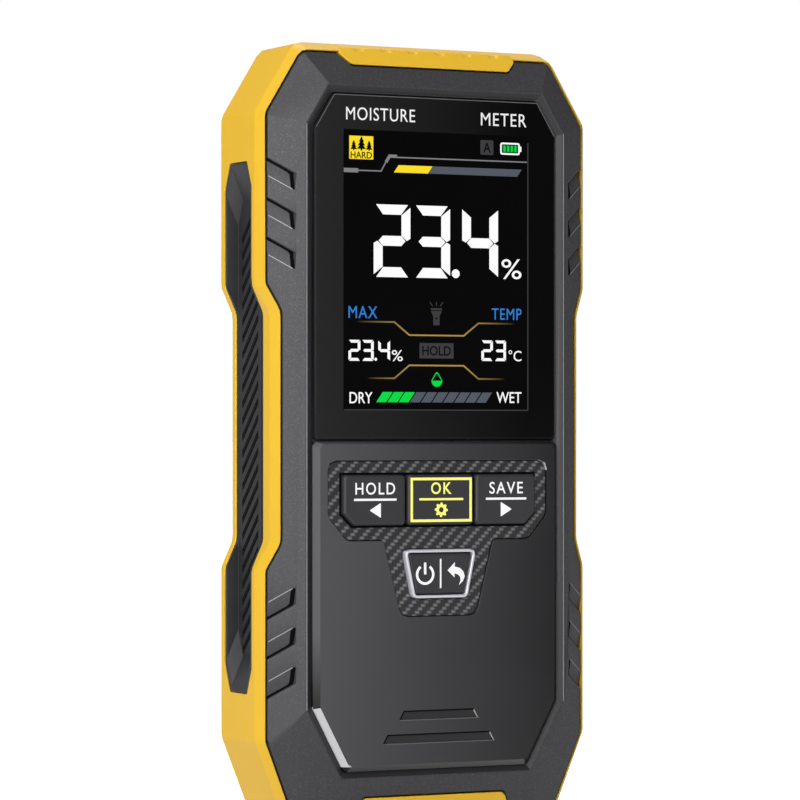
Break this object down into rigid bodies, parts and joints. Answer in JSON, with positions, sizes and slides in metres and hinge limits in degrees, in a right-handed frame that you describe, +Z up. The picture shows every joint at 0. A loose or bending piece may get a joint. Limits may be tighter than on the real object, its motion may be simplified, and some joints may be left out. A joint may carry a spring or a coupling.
{
  "type": "moisture meter",
  "caption": "Handheld pinless moisture meter with a waisted guard frame, a display window, a row of keys over a power key, side grips, a sensing pad and a hinged port cover.",
  "frame": {"origin": "centre of the bottom face of the overall box, on the surface the meter stands on", "axes": "+Z up along the meter's length, -Y out of the display, +X to the right of someone reading it"},
  "size_m": [0.0648, 0.0268, 0.141],
  "materials": {
    "yellow_plastic": "satin moulded plastic",
    "shell_plastic": "fine spark-eroded grain",
    "satin_plastic": "smooth satin",
    "grip_rubber": "soft matte",
    "key_rubber": "silk matte",
    "carbon_weave": "twill weave pattern",
    "plating": "satin plated",
    "dark_glass": "polished",
    "clear_plastic": "translucent polished",
    "circuit_board": "solder mask",
    "steel": "bright",
    "foil": "satin foil",
    "component": "matte",
    "copper_film": "film"
  },
  "bodies": {
    "case": {"front_shell": "shell_plastic", "bumper_frame": "yellow_plastic", "rear_cover": "shell_plastic", "left_grip": "grip_rubber", "right_grip": "grip_rubber", "case_gasket": "grip_rubber", "display_window": "dark_glass", "window_tape": "component", "lower_panel": "satin_plastic", "key_surround": "carbon_weave", "power_key_ring": "plating", "hold_switch": "steel", "ok_switch": "steel", "save_switch": "steel", "power_switch": "steel", "main_board": "circuit_board", "display_panel": "dark_glass", "display_backlight": "clear_plastic", "display_ribbon": "copper_film", "ribbon_socket": "component", "processor_chip": "component", "memory_chip": "component", "charger_chip": "component", "temperature_sensor": "component", "battery_plug": "clear_plastic", "usb_socket": "steel", "buzzer": "component", "torch_led": "clear_plastic", "torch_lens": "clear_plastic", "battery_cell": "foil", "battery_pad": "component", "sensor_pad": "satin_plastic", "sensor_board": "circuit_board", "sensor_link": "component", "rear_foot_left": "grip_rubber", "rear_foot_right": "grip_rubber", "rear_label": "foil", "case_screw_top_left": "steel", "case_screw_top_right": "steel", "case_screw_middle_left": "steel", "case_screw_middle_right": "steel", "case_screw_bottom_left": "steel", "case_screw_bottom_right": "steel", "board_screw_top_left": "steel", "board_screw_top_right": "steel", "board_screw_bottom_left": "steel", "board_screw_bottom_right": "steel"},
    "hold_button": {"hold_key": "key_rubber", "hold_switch_plunger": "component"},
    "ok_button": {"ok_key": "key_rubber", "ok_switch_plunger": "component"},
    "save_button": {"save_key": "key_rubber", "save_switch_plunger": "component"},
    "power_button": {"power_key": "key_rubber", "power_switch_plunger": "component"},
    "port_flap": {"port_cover": "grip_rubber"}
  },
  "joints": [
    {"name": "hold_press", "type": "slide", "parent": "case", "child": "hold_button", "axis": [0, 1, 0], "range_m": [0, 0.0006], "stiffness_N_per_m": 1200},
    {"name": "ok_press", "type": "slide", "parent": "case", "child": "ok_button", "axis": [0, 1, 0], "range_m": [0, 0.0006], "stiffness_N_per_m": 1200},
    {"name": "save_press", "type": "slide", "parent": "case", "child": "save_button", "axis": [0, 1, 0], "range_m": [0, 0.0006], "stiffness_N_per_m": 1200},
    {"name": "power_press", "type": "slide", "parent": "case", "child": "power_button", "axis": [0, 1, 0], "range_m": [0, 0.0006], "stiffness_N_per_m": 1200},
    {"name": "port_cover_swing", "type": "hinge", "parent": "case", "child": "port_flap", "pos_m": [0.0076, 0.0038, 0.1409], "axis": [-1, 0, 0], "range_deg": [0, 100]}
  ]
}
